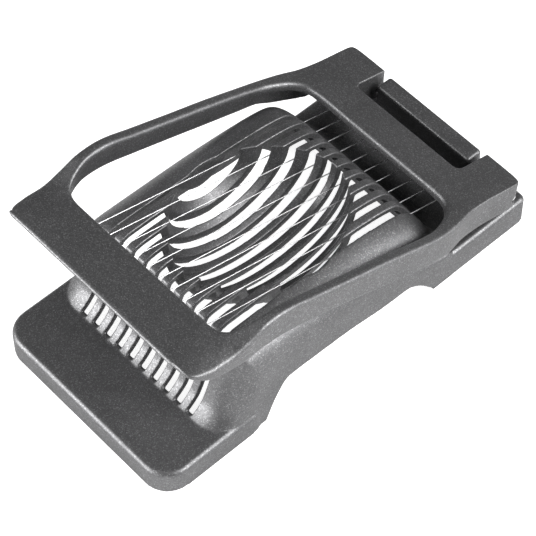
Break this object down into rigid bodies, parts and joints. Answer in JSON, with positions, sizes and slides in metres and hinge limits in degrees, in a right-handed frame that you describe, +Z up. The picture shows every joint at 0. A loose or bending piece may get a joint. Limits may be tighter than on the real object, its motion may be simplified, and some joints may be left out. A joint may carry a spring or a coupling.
{
  "type": "egg slicer",
  "caption": "Die-cast egg slicer with a slotted egg cradle on a low base and a hinged arched lid frame strung with parallel cutting wires.",
  "frame": {"origin": "centre of the base's footprint, on the surface it stands on", "axes": "+Z up, +Y along the slicer towards its hinge, +X across it, to the right when seen from the front"},
  "size_m": [0.0776, 0.142, 0.0555],
  "materials": {
    "cast_metal": "dark grey coated die-cast metal with a fine sparkle",
    "steel": "bare drawn steel"
  },
  "bodies": {
    "base": {"base_casting": "cast_metal", "hinge_rod": "steel"},
    "lid": {"lid_frame": "cast_metal", "wire_01": "steel", "wire_02": "steel", "wire_03": "steel", "wire_04": "steel", "wire_05": "steel", "wire_06": "steel", "wire_07": "steel", "wire_08": "steel", "wire_09": "steel", "wire_10": "steel"}
  },
  "joints": [
    {"name": "lid_hinge", "type": "hinge", "parent": "base", "child": "lid", "pos_m": [0, 0.06475, 0.01505], "axis": [-1, 0, 0], "range_deg": [-16.2, 90]}
  ]
}
